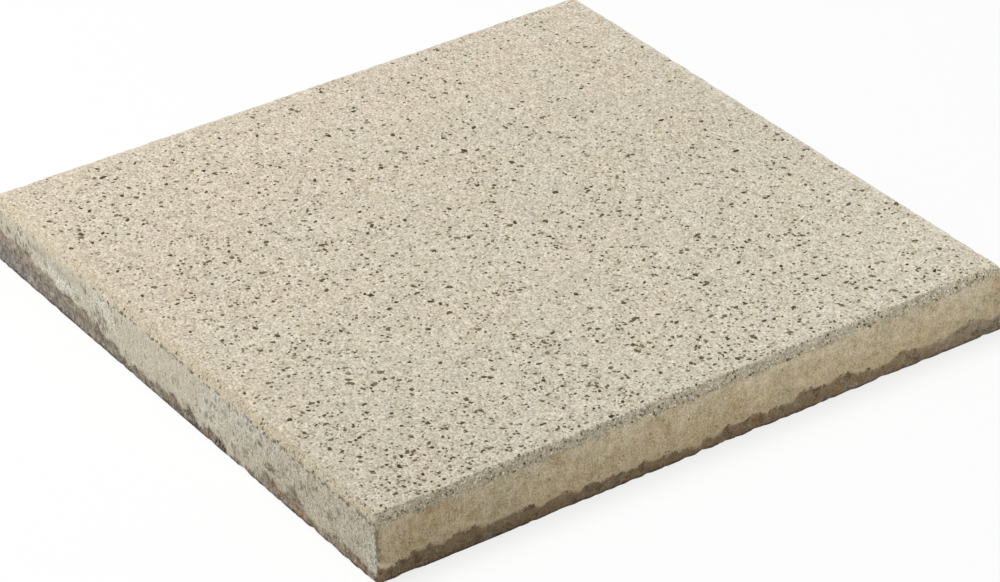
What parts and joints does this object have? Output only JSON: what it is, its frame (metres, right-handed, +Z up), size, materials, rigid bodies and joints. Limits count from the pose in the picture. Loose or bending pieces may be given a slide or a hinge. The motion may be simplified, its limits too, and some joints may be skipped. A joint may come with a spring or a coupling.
{
  "type": "concrete paving slab",
  "caption": "Square concrete paving slab with a bevelled, blasted cream face flecked with dark stone chips over a coarse brown backing, laid flat for terraces and paths.",
  "frame": {"origin": "middle of the underside, on the surface that the slab lies on", "axes": "+Z up through the thickness to the walking face, +X and +Y along the two pairs of edges"},
  "size_m": [0.4, 0.4, 0.04],
  "materials": {
    "concrete": "matte"
  },
  "bodies": {
    "root": {"paving_slab": "concrete"}
  },
  "joints": []
}
